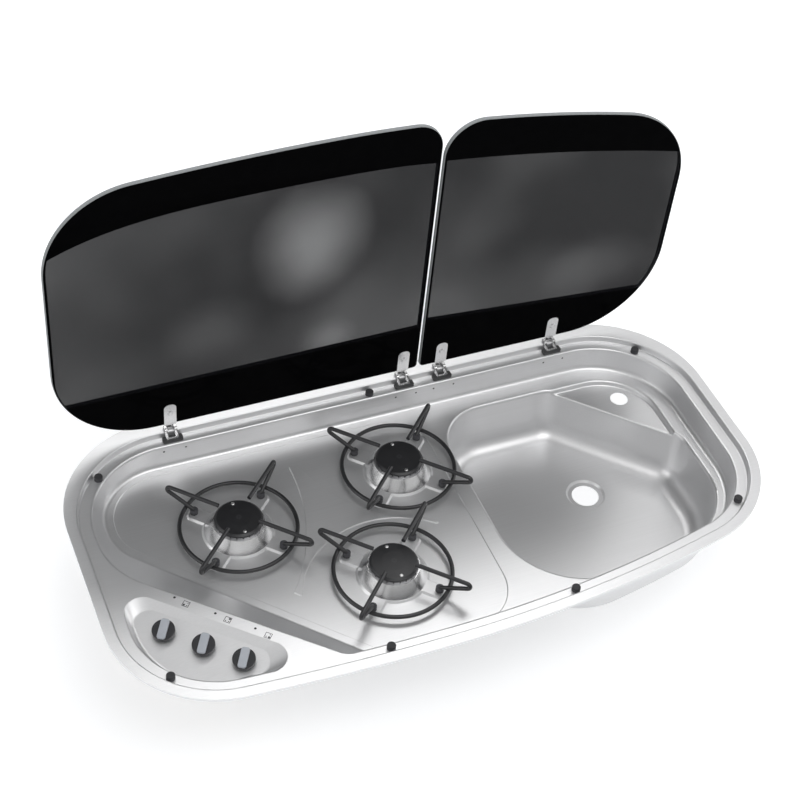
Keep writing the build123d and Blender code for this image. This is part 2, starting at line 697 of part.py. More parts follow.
def bent(points, bends):
    """Straight runs joined by tangent arcs, inside a BuildLine."""
    points = [Vector(*p) for p in points]
    start = points[0]
    for before, corner, after, r in zip(points, points[1:], points[2:], bends):
        u, v = (before - corner).normalized(), (after - corner).normalized()
        half = radians(u.get_angle(v)) / 2
        first, last = corner + u * (r / tan(half)), corner + v * (r / tan(half))
        Line(start, first)
        ThreePointArc(first, corner + (u + v).normalized() * (r / sin(half) - r), last)
        start = last
    Line(start, points[-1])


# ================================================================ trivets
def arm(x, y, turn, r):
    """One arm of a trivet: top bar, bend at the tip, returning wire, foot end."""
    side = Plane(origin=(x, y, 0), x_dir=(cos(radians(turn)), sin(radians(turn)), 0),
                 z_dir=(sin(radians(turn)), -cos(radians(turn)), 0))
    low = RING_Z + ARM_OVER_RING                      # returning wire over the ring
    tip = RING_R + (BAR_Z - low) / ARM_SLOPE
    foot_z = low + (FOOT_AT - RING_R) * ARM_SLOPE
    corners = ((BAR_IN_R, BAR_Z), (tip, BAR_Z), (FOOT_AT, foot_z), (FOOT_AT, WIRE_END))
    with BuildPart() as wire:
        with BuildLine() as path:
            bent([side.from_local_coords(Vector(*c)) for c in corners], (ARM_BEND, FOOT_BEND))
        with BuildSketch(Plane(path.line @ 0, z_dir=path.line % 0)):
            Circle(r)
        sweep(path=path.line)
    return wire.part


for name, (x, y) in BURNERS.items():
    with BuildPart() as trivet:
        with BuildSketch(Plane(origin=(x, y, 0), x_dir=(1, 0, 0), z_dir=(0, -1, 0))):
            with Locations((RING_R, RING_Z)):
                Circle(WIRE_R)
        revolve(axis=Axis((x, y, 0), (0, 0, 1)))
        for turn in (45, 135, 225, 315):
            add(arm(x, y, turn, WIRE_R))
    save(trivet, f"trivet_{name}")

    with BuildPart() as trivet_feet:
        with BuildSketch(Plane.XY.offset(PAD_Z)):
            with Locations((x, y)):
                with PolarLocations(FOOT_AT, 4, start_angle=45):
                    Circle(FOOT_R)
        extrude(amount=FOOT_TOP - PAD_Z)
        fillet(trivet_feet.edges().group_by(Axis.Z)[0], 0.8)
        for turn in (45, 135, 225, 315):
            add(arm(x, y, turn, WIRE_R + SNUG), mode=Mode.SUBTRACT)
    save(trivet_feet, f"trivet_feet_{name}")


# ================================================================ controls
def d_profile(clear):
    """Spindle section with its flat."""
    with BuildSketch() as face:
        Circle(SPINDLE_R + clear)
        with Locations((SPINDLE_FLAT + clear + SPINDLE_R, 0)):
            Rectangle(2 * SPINDLE_R, 4 * SPINDLE_R, mode=Mode.SUBTRACT)
    return face.sketch


def seat_on(x, height=0.0):
    """Plane of the control at x along the row, height above the recess floor."""
    return Plane(origin=CONTROL.from_local_coords(Vector(x, 0, height)),
                 x_dir=CONTROL.x_dir, z_dir=CONTROL.z_dir)


for name, x in KNOB_X.items():
    with BuildPart() as knob:
        with BuildSketch(seat_on(x, KNOB_LIFT)):
            Circle(KNOB_R)
        extrude(amount=KNOB_RIM)
        fillet(knob.edges().sort_by(Axis(CONTROL.origin, CONTROL.z_dir))[-1], 1.0)
        with BuildSketch(seat_on(x, KNOB_LIFT)):
            add(d_profile(RUNNING))
        extrude(amount=KNOB_RIM + 1, mode=Mode.SUBTRACT)
        with BuildSketch(seat_on(x, KNOB_LIFT + KNOB_RIM)):
            with Locations(Location((0, 0, 0), (0, 0, GRIP_TURN))):
                RectangleRounded(GRIP_L - 1.0, GRIP_W - 2.5, 3)
        extrude(amount=-2.0, mode=Mode.SUBTRACT)
    save(knob, f"knob_{name}")

    with BuildPart() as grip:
        with BuildSketch(seat_on(x, KNOB_LIFT + KNOB_RIM)):
            with Locations(Location((0, 0, 0), (0, 0, GRIP_TURN))):
                RectangleRounded(GRIP_L, GRIP_W, 3.2)
        extrude(amount=KNOB_TOP - KNOB_LIFT - KNOB_RIM)
        fillet(grip.edges().group_by(Axis(CONTROL.origin, CONTROL.z_dir))[-1], 0.8)
        with BuildSketch(seat_on(x, KNOB_LIFT + KNOB_RIM)):
            with Locations(Location((0, 0, 0), (0, 0, GRIP_TURN))):
                RectangleRounded(GRIP_L - 1.0, GRIP_W - 2.5, 3)
        extrude(amount=-2.0)
        with BuildSketch(seat_on(x, KNOB_LIFT)):
            add(d_profile(RUNNING))
        extrude(amount=SPINDLE_TOP + PUSH + 0.1 - KNOB_LIFT, mode=Mode.SUBTRACT)
    save(grip, f"knob_grip_{name}")

    with BuildPart() as spindle:
        with BuildSketch(seat_on(x, SPINDLE_FOOT)):
            Circle(SPINDLE_R)
        extrude(amount=KNOB_LIFT - PUSH - 0.4 - SPINDLE_FOOT)
        with BuildSketch(seat_on(x, KNOB_LIFT - PUSH - 0.4)):
            add(d_profile(0))
        extrude(amount=SPINDLE_TOP - KNOB_LIFT + PUSH + 0.4)
    save(spindle, f"tap_spindle_{name}")

    with BuildPart() as gas_tap:
        with BuildSketch(seat_on(x, -SHEET)):
            Circle(TAP_FLANGE_R)
        extrude(amount=-TAP_FLANGE_H)
        with BuildSketch(seat_on(x, -SHEET)):
            Circle(TAP_NECK_R)
        extrude(amount=SHEET + 0.8)
        with BuildSketch(seat_on(x, -SHEET - TAP_FLANGE_H)):
            Circle(TAP_BODY_R)
        extrude(amount=TAP_FLANGE_H + SHEET - TAP_DEPTH)
        with BuildSketch(Plane(origin=seat_on(x, -RAIL_DOWN).origin, x_dir=CONTROL.x_dir,
                               z_dir=CONTROL.y_dir)):
            Circle(RAIL_R - 1)
        extrude(amount=RAIL_BACK - RAIL_R - SEAT)
        with BuildSketch(seat_on(x, 1)):
            Circle(SPINDLE_R + RUNNING)
        extrude(amount=SPINDLE_FOOT - 1.5, mode=Mode.SUBTRACT)
    save(gas_tap, f"gas_tap_{name}")

# ---------------------------------------------------------------- gas rail and pipes
rail_left = CONTROL.from_local_coords(Vector(-KNOB_PITCH - RAIL_END, RAIL_BACK, -RAIL_DOWN))
with BuildPart() as gas_rail:
    with BuildSketch(Plane(origin=rail_left, x_dir=CONTROL.y_dir, z_dir=CONTROL.x_dir)):
        Circle(RAIL_R)
    extrude(amount=2 * (KNOB_PITCH + RAIL_END))
    with BuildSketch(Plane(origin=rail_left, x_dir=CONTROL.y_dir, z_dir=CONTROL.x_dir)):
        Circle(RAIL_R - RAIL_WALL)
    extrude(amount=2 * (KNOB_PITCH + RAIL_END) - RAIL_WALL, mode=Mode.SUBTRACT)
save(gas_rail, "gas_rail")


def tube(points, bends, r, wall):
    """Bent tube through points."""
    with BuildPart() as pipe:
        with BuildLine() as path:
            bent(points, bends)
        with BuildSketch(Plane(path.line @ 0, z_dir=path.line % 0)):
            Circle(r)
            Circle(r - wall, mode=Mode.SUBTRACT)
        sweep(path=path.line)
    return pipe.part


with BuildPart() as gas_inlet:
    end = Vector(*INLET_END)
    first = rail_left - CONTROL.x_dir * SEAT
    knee = first - CONTROL.x_dir * INLET_LEAD
    add(tube((first, knee, Vector(end.X, knee.Y + INLET_RISE, end.Z), end),
             (INLET_BEND, INLET_BEND), INLET_R, PIPE_WALL))
save(gas_inlet, "gas_inlet")

for (name, x), (burner, (bx, by)) in zip(KNOB_X.items(), BURNERS.items()):
    with BuildPart() as feed_pipe:
        start = CONTROL.from_local_coords(Vector(x, 0, -TAP_DEPTH))
        jet_z = CUP_Z - INJECTOR_NUT_H / 2
        corner = start - CONTROL.z_dir * ((start.Z - jet_z) / CONTROL.z_dir.Z)
        way = Vector(bx - corner.X, by - corner.Y, 0).normalized()
        end = Vector(bx, by, jet_z) - way * (INJECTOR_NUT_R + SEAT)
        add(tube((start, corner, end), (PIPE_BEND,), PIPE_R, PIPE_WALL))
    save(feed_pipe, f"feed_pipe_{burner}")


# ================================================================ lids and hinges
def opened(part):
    """A piece modelled on the closed lid, turned to the rest pose."""
    return part.rotate(Axis((0, PIVOT_Y, PIVOT_Z), (1, 0, 0)), -OPEN_ANGLE)


def save_open(builder, name):
    part = opened(builder.part)
    part.label = name
    export_step(part, f"parts/{name}.step")


def ring_sector(y, z, r0, r1, start, size):
    """Part of a flat ring."""
    with BuildSketch() as face:
        with BuildLine():
            inner = CenterArc((y, z), r0, start, size)
            outer = CenterArc((y, z), r1, start, size)
            Line(inner @ 0, outer @ 0)
            Line(inner @ 1, outer @ 1)
        make_face()
    return face.sketch


EYE_IN, EYE_OUT = CURL_R - LEAF_T / 2, CURL_R + LEAF_T / 2

for lid, pair in HINGES.items():
    with BuildPart() as lid_glass:
        with BuildSketch(Plane.XY.offset(GLASS_UNDER)) as face:
            add(rim_outline(GLASS_INSET, DEPTH / 2 - GLASS_REAR))
            cut = LID_LEFT_RIGHT if lid == "hob" else LID_RIGHT_LEFT
            side = 1 if lid == "hob" else -1
            with Locations((cut + side * WIDTH / 2, 0)):
                Rectangle(WIDTH, 2 * DEPTH, mode=Mode.SUBTRACT)
            fillet(face.vertices().filter_by(at(cut, GLASS_REAR)), LID_REAR_R)
            fillet(face.vertices().filter_by(at(cut, bow_y(cut, GLASS_INSET))),
                   LID_LEFT_R if lid == "hob" else LID_RIGHT_R)
            with Locations([(x, BOLT_Y) for x in pair]):
                Circle(BOLT_HOLE_R, mode=Mode.SUBTRACT)
        extrude(amount=GLASS)
        chamfer([e for e in lid_glass.edges() if e.bounding_box().size.Z < 0.01
                 and not (e.geom_type == GeomType.CIRCLE and e.radius < BOLT_HOLE_R + 0.1)],
                GLASS_BEVEL)
    save_open(lid_glass, f"{lid}_lid_glass")

    with BuildPart() as hinge_leaves:
        for x in pair:
            with BuildSketch(Plane.XY.offset(GLASS_UNDER)):
                with Locations((x, (LEAF_TIP + LEAF_FULL) / 2)):
                    Rectangle(LEAF_W, LEAF_FULL - LEAF_TIP)
            extrude(amount=-LEAF_T)
        ends = hinge_leaves.edges().filter_by(Axis.Z).group_by(Axis.Y)[0]
        fillet(ends, LEAF_END_R)
        with BuildSketch(Plane.XY.offset(GLASS_UNDER)):
            with Locations([(x, BOLT_Y) for x in pair]):
                Circle(BOLT_R + RUNNING)
        extrude(amount=-LEAF_T, mode=Mode.SUBTRACT)
        low, high = GLASS_UNDER - LEAF_T, PIVOT_Z - EYE_OUT
        for x in pair:
            with BuildSketch(Plane.YZ.offset(x)):
                with BuildLine():
                    Polyline((LEAF_FULL - 1, low), (LEAF_FULL + 1.1, low), (LEAF_FULL + 2.6, high),
                             (PIVOT_Y, high), (PIVOT_Y, high + LEAF_T),
                             (LEAF_FULL + 1.9, high + LEAF_T), (LEAF_FULL + 0.4, low + LEAF_T),
                             (LEAF_FULL - 1, low + LEAF_T), close=True)
                make_face()
                add(ring_sector(PIVOT_Y, PIVOT_Z, EYE_IN, EYE_OUT, -90, 270))
            extrude(amount=NECK_W / 2, both=True)
    save_open(hinge_leaves, f"hinge_leaves_{lid}")

    with BuildPart() as hinge_bolts:
        for x in pair:
            add(turned(x, BOLT_Y, (0, GLASS_UNDER - LEAF_T - BOLT_HEAD_H),
                   (BOLT_HEAD_R * 0.6, GLASS_UNDER - LEAF_T - BOLT_HEAD_H),
                   (BOLT_HEAD_R, GLASS_UNDER - LEAF_T), (BOLT_R, GLASS_UNDER - LEAF_T),
                   (BOLT_R, GLASS_UNDER + GLASS), (BOLT_CAP_R, GLASS_UNDER + GLASS),
                   (BOLT_CAP_R - 0.6, GLASS_UNDER + GLASS + BOLT_CAP_H),
                   (0, GLASS_UNDER + GLASS + BOLT_CAP_H)))
    save_open(hinge_bolts, f"hinge_bolts_{lid}")

hinge_x = [x for pair in HINGES.values() for x in pair]
with BuildPart() as hinge_bases:
    with BuildSketch(Plane.XY.offset(LEDGE_Z)):
        with Locations([(x, sum(BASE_Y) / 2) for x in hinge_x]):
            RectangleRounded(BASE_W, BASE_Y[1] - BASE_Y[0], BASE_CORNER)
    extrude(amount=BASE_TOP - LEDGE_Z)
save(hinge_bases, "hinge_bases")

with BuildPart() as hinge_brackets:
    top = PIVOT_Z + CURL_R                             # sheet's middle, over the flange
    for x in hinge_x:
        for side in (-1, 1):
            with BuildSketch(Plane.YZ.offset(x + side * (STRAP_IN + STRAP_OUT) / 2)):
                with BuildLine():
                    Polyline((FOOT_Y, BASE_TOP), (STRAP_Y + LEAF_T / 2, BASE_TOP),
                             (STRAP_Y + LEAF_T / 2, top - STRAP_BEND),
                             (STRAP_Y - LEAF_T / 2, top - STRAP_BEND),
                             (STRAP_Y - LEAF_T / 2, BASE_TOP + LEAF_T),
                             (FOOT_Y, BASE_TOP + LEAF_T), close=True)
                make_face()
                add(ring_sector(STRAP_Y + STRAP_BEND, top - STRAP_BEND, STRAP_BEND - LEAF_T / 2,
                                STRAP_BEND + LEAF_T / 2, 90, 90))
                with BuildLine():
                    Polyline((STRAP_Y + STRAP_BEND, top - LEAF_T / 2), (PIVOT_Y, top - LEAF_T / 2),
                             (PIVOT_Y, top + LEAF_T / 2), (STRAP_Y + STRAP_BEND, top + LEAF_T / 2),
                             close=True)
                make_face()
                add(ring_sector(PIVOT_Y, PIVOT_Z, EYE_IN, EYE_OUT, -180, 270))
            extrude(amount=(STRAP_OUT - STRAP_IN) / 2, both=True)
        with BuildSketch(Plane.XY.offset(BASE_TOP)):
            with Locations((x, FOOT_Y + FOOT_PLATE / 2)):
                Rectangle(2 * STRAP_OUT, FOOT_PLATE)
        extrude(amount=LEAF_T)
save(hinge_brackets, "hinge_brackets")

with BuildPart() as hinge_pins:
    for x in hinge_x:
        with BuildSketch(Plane.YZ.offset(x)):
            with Locations((PIVOT_Y, PIVOT_Z)):
                Circle(PIN_R)
        extrude(amount=PIN_L / 2, both=True)
save(hinge_pins, "hinge_pins")
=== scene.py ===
from math import cos, pi, radians, sin

import bmesh
import bpy
from mathutils import Matrix, Vector


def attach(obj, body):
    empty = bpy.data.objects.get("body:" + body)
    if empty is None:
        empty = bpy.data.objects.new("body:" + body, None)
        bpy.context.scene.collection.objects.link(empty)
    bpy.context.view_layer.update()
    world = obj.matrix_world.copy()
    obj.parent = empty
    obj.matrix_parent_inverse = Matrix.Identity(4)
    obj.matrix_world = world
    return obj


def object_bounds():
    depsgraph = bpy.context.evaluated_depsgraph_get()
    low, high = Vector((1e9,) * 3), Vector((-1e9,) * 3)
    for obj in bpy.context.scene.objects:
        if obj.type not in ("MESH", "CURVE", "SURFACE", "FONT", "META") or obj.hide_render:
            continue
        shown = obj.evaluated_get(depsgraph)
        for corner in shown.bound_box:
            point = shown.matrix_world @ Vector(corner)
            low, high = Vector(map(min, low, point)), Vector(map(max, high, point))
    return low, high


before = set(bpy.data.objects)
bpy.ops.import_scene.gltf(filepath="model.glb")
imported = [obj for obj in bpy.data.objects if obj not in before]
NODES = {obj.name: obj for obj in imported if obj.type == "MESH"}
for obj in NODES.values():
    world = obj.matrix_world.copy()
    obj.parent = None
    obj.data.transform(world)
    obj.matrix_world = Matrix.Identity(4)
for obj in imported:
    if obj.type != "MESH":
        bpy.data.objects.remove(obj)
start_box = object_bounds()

# All lengths are metres. X runs to the right, Y to the back and Z up, as in the frame.
SCENE = bpy.context.scene


def node_box(name):
    """Lowest and highest corner of a node's box."""
    return [Vector(NODES[name].bound_box[i]) for i in (0, 6)]


# ------------------------------------------------------------------ shader nodes
class Graph:
    """Shader nodes under construction."""

    def __init__(self, tree):
        self.tree = tree
        self.tree.nodes.clear()

    def add(self, kind, **props):
        node = self.tree.nodes.new(kind)
        for key, value in props.items():
            setattr(node, key, value)
        return node

    def link(self, output, socket):
        self.tree.links.new(output, socket)

    def feed(self, value, socket):
        """Link an output to a socket, or set the socket to a number, vector or colour."""
        if isinstance(value, bpy.types.NodeSocket):
            self.link(value, socket)
        elif socket.type == "RGBA":
            socket.default_value = (*value, 1)
        else:
            socket.default_value = value

    def coords(self, kind="Object", scale=(1, 1, 1)):
        mapping = self.add("ShaderNodeMapping")
        self.link(self.add("ShaderNodeTexCoord").outputs[kind], mapping.inputs["Vector"])
        self.feed(scale, mapping.inputs["Scale"])
        return mapping.outputs[0]

    def xyz(self, kind="Object"):
        split = self.add("ShaderNodeSeparateXYZ")
        self.link(self.coords(kind), split.inputs[0])
        return split.outputs

    def noise(self, scale, detail=2.0, rough=0.5, stretch=(1, 1, 1)):
        node = self.add("ShaderNodeTexNoise")
        self.link(self.coords(scale=stretch), node.inputs["Vector"])
        for key, value in (("Scale", scale), ("Detail", detail), ("Roughness", rough)):
            self.feed(value, node.inputs[key])
        return node.outputs["Fac"]

    def math(self, op, a, b=0.0, c=0.0, clamp=False):
        node = self.add("ShaderNodeMath", operation=op, use_clamp=clamp)
        for value, socket in zip((a, b, c), node.inputs):
            self.feed(value, socket)
        return node.outputs[0]

    def chain(self, op, result, *values):
        """One operation over any number of values, from left to right."""
        for value in values:
            result = self.math(op, result, value)
        return result

    def products(self, a, b, c, d):
        """a times b, plus c times d."""
        return self.math("ADD", self.math("MULTIPLY", a, b), self.math("MULTIPLY", c, d))

    def hypot(self, a, b):
        return self.math("SQRT", self.products(a, a, b, b))

    def span(self, value, low, high, from_low=0.0, from_high=1.0):
        """Value brought from one range to another, and held inside it."""
        node = self.add("ShaderNodeMapRange")
        for key, end in (("Value", value), ("From Min", from_low), ("From Max", from_high),
                         ("To Min", low), ("To Max", high)):
            self.feed(end, node.inputs[key])
        return node.outputs[0]

    def mix(self, share, a, b):
        """Colour a where share is 0, b where it is 1."""
        node = self.add("ShaderNodeMix", data_type="RGBA")
        for value, i in ((share, 0), (a, 6), (b, 7)):
            self.feed(value, node.inputs[i])
        return node.outputs[2]

    def blend(self, share, a, b):
        """Number a where share is 0, b where it is 1."""
        node = self.add("ShaderNodeMix", data_type="FLOAT")
        for value, i in ((share, 0), (a, 2), (b, 3)):
            self.feed(value, node.inputs[i])
        return node.outputs[0]

    def seen(self):
        """1 where the camera looks, straight, in a reflection or through glass."""
        rays = self.add("ShaderNodeLightPath").outputs
        return self.chain("MAXIMUM", rays["Is Camera Ray"], rays["Is Glossy Ray"],
                          rays["Is Transmission Ray"])


class Shade(Graph):
    """Material with one shader. Its sockets are set by name, with _ for each space."""

    def __init__(self, name, **values):
        self.mat = bpy.data.materials.new(name)
        self.mat.use_nodes = True
        super().__init__(self.mat.node_tree)
        self.bsdf = self.add("ShaderNodeBsdfPrincipled")
        self.link(self.bsdf.outputs[0], self.add("ShaderNodeOutputMaterial").inputs[0])
        self.set(**values)

    def set(self, **values):
        for key, value in values.items():
            self.feed(value, self.bsdf.inputs[key.replace("_", " ")])

    def bump(self, height, strength, depth):
        node = self.add("ShaderNodeBump")
        for key, value in (("Height", height), ("Strength", strength), ("Distance", depth)):
            self.feed(value, node.inputs[key])
        self.set(Normal=node.outputs[0])

    def worn_edge(self):
        """1 on raised edges, 0 elsewhere."""
        point = self.add("ShaderNodeNewGeometry").outputs["Pointiness"]
        return self.span(point, 0.0, 1.0, 0.52, 0.62)


# ------------------------------------------------------------------ metals
def brushed(name, tone, rough, grain=(5, 900, 900), spread=0.06, depth=0.00002, metal=1.0):
    """Metal with a fine grain.

    grain is the frequency of its noise along X, Y and Z, and the grain is drawn out where it is
    low. spread is how far the roughness varies, and depth how deep the grain is."""
    s = Shade(name, Metallic=metal)
    streak = s.noise(1.0, detail=3.0, rough=0.6, stretch=grain)
    cloud = s.noise(7.0, detail=3.0, rough=0.55)
    fleck = s.noise(420.0, rough=0.6)
    dark = [c * 0.88 for c in tone]
    light = [min(c * 1.08, 1) for c in tone]
    s.set(Base_Color=s.mix(s.products(streak, 0.6, cloud, 0.4), dark, light))
    level = s.products(streak, spread * 1.4, cloud, spread)
    s.set(Roughness=s.math("ADD", level, rough - spread * 1.2))
    s.bump(s.math("ADD", streak, s.math("MULTIPLY", fleck, 0.5)), 0.35, depth)
    return s.mat


STEEL = brushed("brushed_sheet", (0.80, 0.80, 0.805), 0.39, metal=0.84)
BRIGHT = brushed("hinge_bright", (0.78, 0.78, 0.785), 0.20, grain=(900, 900, 40), spread=0.04)
POLISHED = brushed("polished_cone", (0.92, 0.92, 0.925), 0.24, grain=(700, 700, 700), spread=0.03,
                   depth=0.00001)
RIVET = brushed("rivet_metal", (0.62, 0.62, 0.62), 0.30, grain=(300, 300, 300), spread=0.04)
ALLOY = brushed("burner_alloy", (0.36, 0.36, 0.37), 0.45, grain=(260, 260, 260), spread=0.08,
                depth=0.00006)
BRASS = brushed("turned_brass", (0.78, 0.60, 0.30), 0.28, grain=(300, 300, 900))
ZINC = brushed("zinc_pipe", (0.62, 0.63, 0.65), 0.36, grain=(200, 200, 200))
COPPER = brushed("drawn_copper", (0.80, 0.47, 0.33), 0.26, grain=(400, 60, 400))


# ------------------------------------------------------------------ enamel, rubber and plastic
def coated(name, dark, light, rough, cloud, grain, strength, depth, edge=None, wear=0.5, **values):
    """Coating or plastic with a clouded tone, a small grain and, given edge, paler worn edges.

    cloud and grain are frequencies of noise, strength and depth the grain's relief, edge the
    colour of the worn edges and wear how much of it shows."""
    s = Shade(name, **values)
    fine = s.noise(grain, rough=0.6)
    colour = s.mix(s.noise(cloud, detail=3.0, rough=0.6), dark, light)
    if edge:
        colour = s.mix(s.math("MULTIPLY", s.worn_edge(), wear, clamp=True), colour, edge)
    s.set(Base_Color=colour, Roughness=s.span(fine, rough - 0.06, rough + 0.08))
    s.bump(fine, strength, depth)
    return s.mat


ENAMEL = coated("cap_enamel", (0.010, 0.010, 0.011), (0.020, 0.020, 0.022), rough=0.36,
                cloud=40.0, grain=1400.0, strength=0.25, depth=0.00003,
                edge=(0.06, 0.06, 0.065), Specular_IOR_Level=0.55)
WIRE = coated("wire_enamel", (0.012, 0.012, 0.013), (0.026, 0.026, 0.028), rough=0.33,
              cloud=60.0, grain=900.0, strength=0.3, depth=0.00003,
              edge=(0.07, 0.07, 0.075), wear=0.35, Specular_IOR_Level=0.6)
RUBBER = coated("foot_rubber", (0.018, 0.018, 0.020), (0.034, 0.034, 0.037), rough=0.62,
                cloud=120.0, grain=2200.0, strength=0.5, depth=0.00005,
                edge=(0.10, 0.10, 0.11), wear=0.6)
SEAL = coated("foam_strip", (0.02, 0.02, 0.02), (0.04, 0.04, 0.042), rough=0.9,
              cloud=90.0, grain=1500.0, strength=0.9, depth=0.0002)
KNOB = coated("knob_black", (0.014, 0.014, 0.016), (0.024, 0.024, 0.027), rough=0.40,
              cloud=80.0, grain=2600.0, strength=0.4, depth=0.00003,
              edge=(0.08, 0.08, 0.09))
GRIP = coated("knob_grey", (0.40, 0.42, 0.45), (0.50, 0.52, 0.56), rough=0.32,
              cloud=60.0, grain=2400.0, strength=0.2, depth=0.00002,
              edge=(0.70, 0.72, 0.76), Metallic=0.35)
HINGE_BASE = coated("hinge_plastic", (0.012, 0.012, 0.013), (0.022, 0.022, 0.024), rough=0.45,
                    cloud=100.0, grain=1800.0, strength=0.4, depth=0.00003,
                    edge=(0.08, 0.08, 0.08))
PRINT = coated("mark_print", (0.015, 0.015, 0.017), (0.03, 0.03, 0.033), rough=0.5,
               cloud=300.0, grain=3000.0, strength=0.3, depth=0.00001)


# ------------------------------------------------------------------ lid glass
BORDER = 0.004           # printed line along a lid's sides and outer corners
EDGE_SOFT = 0.0004       # the print's edge fades over this much to either side
DOT_PITCH = 0.0024       # of the dot screen
DOT_EDGE = 0.35          # a dot fades over this much of its two waves' product to either side
SCREEN_OPEN = (0.13, 0.25)       # share of light that the screen lets through, clouded
DOT_OPEN = 0.07          # and this much more in its dots
PATCH_RIPPLE = 0.16      # how far noise moves the edge of a patch of painted reflection, of its reach
PATCH_GAIN = 1.4         # a patch of painted reflection is at its lightest before its middle
PATCH_KNEE = 0.3


def lid_window(s, x, z, node, hinge_print, free_print, corner):
    """1 in the screened middle of a lid, 0 in the print round it."""
    left, right = (end.x for end in node_box(node))
    hinge_z, hinge_slope = hinge_print
    low = s.math("MULTIPLY_ADD", x, hinge_slope, hinge_z)
    high = free_print[-1]
    for term in reversed(free_print[:-1]):
        high = s.math("MULTIPLY_ADD", x, high, term)
    at_x, outward, radius, low_z, high_z = corner
    across = s.math("MAXIMUM", s.math("MULTIPLY", s.math("SUBTRACT", x, at_x), outward), 0.0)
    along = s.chain("MAXIMUM", s.math("SUBTRACT", low_z, z), s.math("SUBTRACT", z, high_z), 0.0)
    depths = (s.math("SUBTRACT", radius - BORDER, s.hypot(across, along)),
              s.math("SUBTRACT", z, low),
              s.math("SUBTRACT", high, z),
              s.math("SUBTRACT", x, left + BORDER),
              s.math("SUBTRACT", right - BORDER, x))
    return s.chain("MULTIPLY", *(s.span(d, 0.0, 1.0, -EDGE_SOFT, EDGE_SOFT) for d in depths))


def dot_screen(s, x, z):
    """1 in staggered dots, 0 between them."""
    waves = (s.math("SINE", s.math("MULTIPLY", v, 2 * pi / DOT_PITCH)) for v in (x, z))
    return s.span(s.chain("MULTIPLY", *waves), 0.0, 1.0, -DOT_EDGE, DOT_EDGE)


def painted_reflections(s, x, z, share, patches):
    """Share of light let through, with more of it in soft patches: painted reflections, where the
    glass reads lighter.
    """
    noise = s.noise(7.0, detail=1.5, rough=0.4)
    ripple = s.span(noise, -PATCH_RIPPLE, PATCH_RIPPLE, 0.3, 0.7)
    for at_x, at_z, reach_x, reach_z, amount in patches:
        off = s.hypot(s.math("DIVIDE", s.math("SUBTRACT", x, at_x), reach_x),
                      s.math("DIVIDE", s.math("SUBTRACT", z, at_z), reach_z))
        near = s.math("SUBTRACT", 1.0, s.math("ADD", off, ripple), clamp=True)
        near = s.math("SMOOTH_MIN", s.math("MULTIPLY", near, PATCH_GAIN), 1.0, PATCH_KNEE)
        share = s.math("MULTIPLY_ADD", near, amount, share)
    return share


def lid_glass(name, node, hinge_print, free_print, corner, patches):
    """Dark glass of one lid: print round the edge and a fine dot screen in the middle.

    hinge_print: Z of the print's edge near the hinges where X is 0, and its slope.
    free_print: Z of its edge along the free side, as the terms of a polynomial in X.
    corner: the rounded outer corners, as X of their centres, 1 where they are on the right
        or -1 on the left, their radius, and Z of the lower and of the upper centre.
    patches: painted reflections, soft places where more light is let through so the glass reads
    lighter, as X, Z, reach in X, reach in Z and amount each."""
    s = Shade(name, IOR=1.3, Specular_IOR_Level=0.01)
    x, _, z = s.xyz()
    window = lid_window(s, x, z, node, hinge_print, free_print, corner)
    broad = s.span(s.math("ABSOLUTE", s.xyz("Normal")[1]), 0.0, 1.0, 0.90, 0.97)
    dots = dot_screen(s, x, z)
    cloud = s.noise(4.0, rough=0.45)
    clouded = s.span(cloud, *SCREEN_OPEN, 0.40, 0.70)
    share = s.math("ADD", s.math("MULTIPLY", dots, DOT_OPEN), clouded)
    # painted reflection: lighter patches placed where reflections fall on the glass
    share = painted_reflections(s, x, z, share, patches)
    s.set(Alpha=s.math("SUBTRACT", 1.0, s.chain("MULTIPLY", share, window, broad)))

    smear = s.noise(60.0, detail=3.0, rough=0.6)
    printed = s.mix(smear, (0.0015, 0.0015, 0.0017), (0.003, 0.003, 0.0033))
    screen = s.mix(s.math("MULTIPLY", dots, 0.6), (0.006, 0.006, 0.0068), (0.020, 0.020, 0.0225))
    ground_edge = s.mix(s.noise(700.0), (0.20, 0.21, 0.21), (0.42, 0.43, 0.43))
    s.set(Base_Color=s.mix(broad, ground_edge, s.mix(window, printed, screen)))
    gloss = s.math("ADD", s.math("MULTIPLY", window, 0.10), s.span(smear, 0.03, 0.07))
    s.set(Roughness=s.blend(broad, 0.45, gloss))
    s.bump(s.noise(1500.0), 0.06, 0.00001)
    return s.mat


HOB_GLASS = lid_glass("hob_lid_dark_glass", "hob_lid_glass",
                      hinge_print=(0.0918, 0.0108),
                      free_print=(0.3768, -0.047, -0.485, -1.961, -3.835),
                      corner=(-0.305, -1.0, 0.124, 0.1382, 0.3077),
                      patches=((-0.090, 0.275, 0.085, 0.105, 0.25),
                               (-0.06, 0.105, 0.05, 0.05, 0.10),
                               (-0.215, 0.165, 0.07, 0.06, 0.06)))
SINK_GLASS = lid_glass("sink_lid_dark_glass", "sink_lid_glass",
                       hinge_print=(0.1080, -0.0800),
                       free_print=(0.3782, -0.0657, -0.2184),
                       corner=(0.302, 1.0, 0.127, 0.1382, 0.2720),
                       patches=((0.325, 0.135, 0.08, 0.06, 0.08),
                                (0.14, 0.25, 0.06, 0.06, 0.03)))


